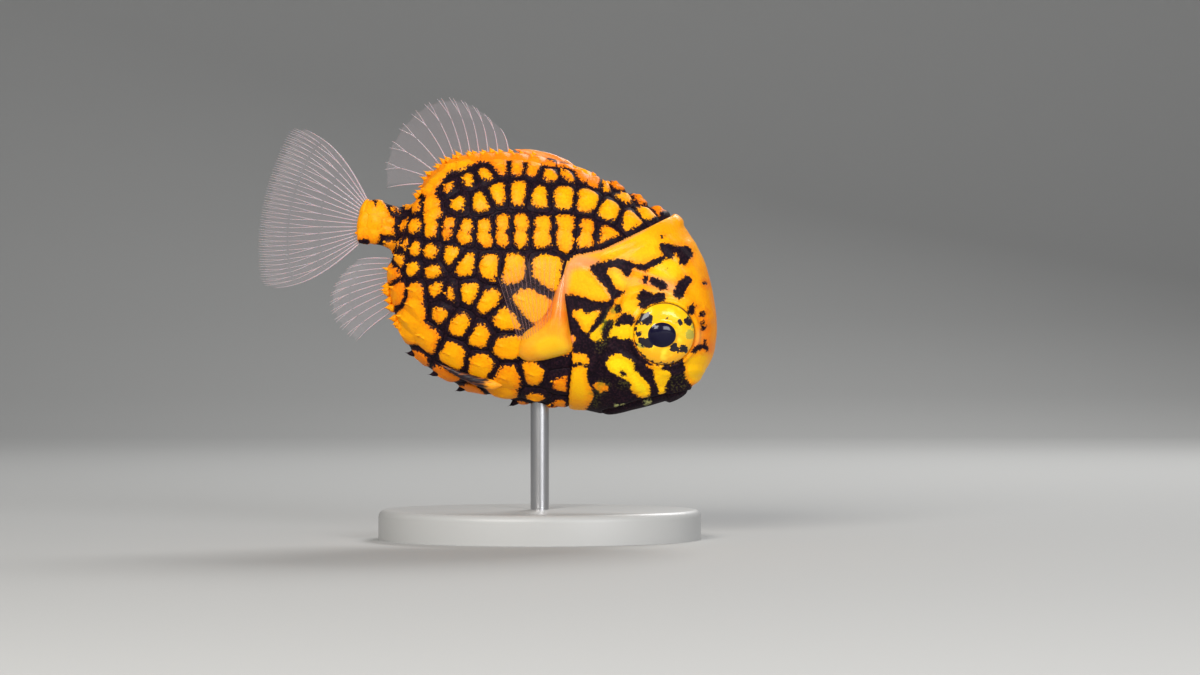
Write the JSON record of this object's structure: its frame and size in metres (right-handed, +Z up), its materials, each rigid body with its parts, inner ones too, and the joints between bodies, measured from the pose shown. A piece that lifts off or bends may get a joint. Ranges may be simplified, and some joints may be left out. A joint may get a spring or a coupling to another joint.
{
  "type": "pinecone fish model on a display stand",
  "caption": "Young pinecone fish at life size, head tipped down, in spined armour plates with folded pectoral fins, on a rod rising from a flat oval base.",
  "frame": {"origin": "middle of the bounding box, on the underside of the stand", "axes": "+X towards the snout, +Y to the fish's left side, +Z up from the stand"},
  "size_m": [0.0376, 0.019, 0.0353],
  "materials": {
    "scute_armour": "satin, yellow centres in a black net",
    "head_bone": "satin, yellow with black blotches",
    "jaw_skin": "satin black",
    "eye": "clear gloss over a yellow iris and dark pupil",
    "fin_membrane": "clear, pinkish, with fine pale rays",
    "spine_bone": "satin, dark stripes",
    "stand_paint": "satin pale grey",
    "rod_steel": "fine brushed"
  },
  "bodies": {
    "root": {"torso": "scute_armour", "tail": "scute_armour", "head": "head_bone", "lower_jaw": "jaw_skin", "eye_right": "eye", "eye_left": "eye", "tail_fin": "fin_membrane", "soft_dorsal_fin": "fin_membrane", "anal_fin": "fin_membrane", "pectoral_fin_right": "fin_membrane", "pectoral_fin_left": "fin_membrane", "pelvic_fin_right": "spine_bone", "pelvic_fin_left": "spine_bone", "stand_base": "stand_paint", "stand_rod": "rod_steel"}
  },
  "joints": []
}
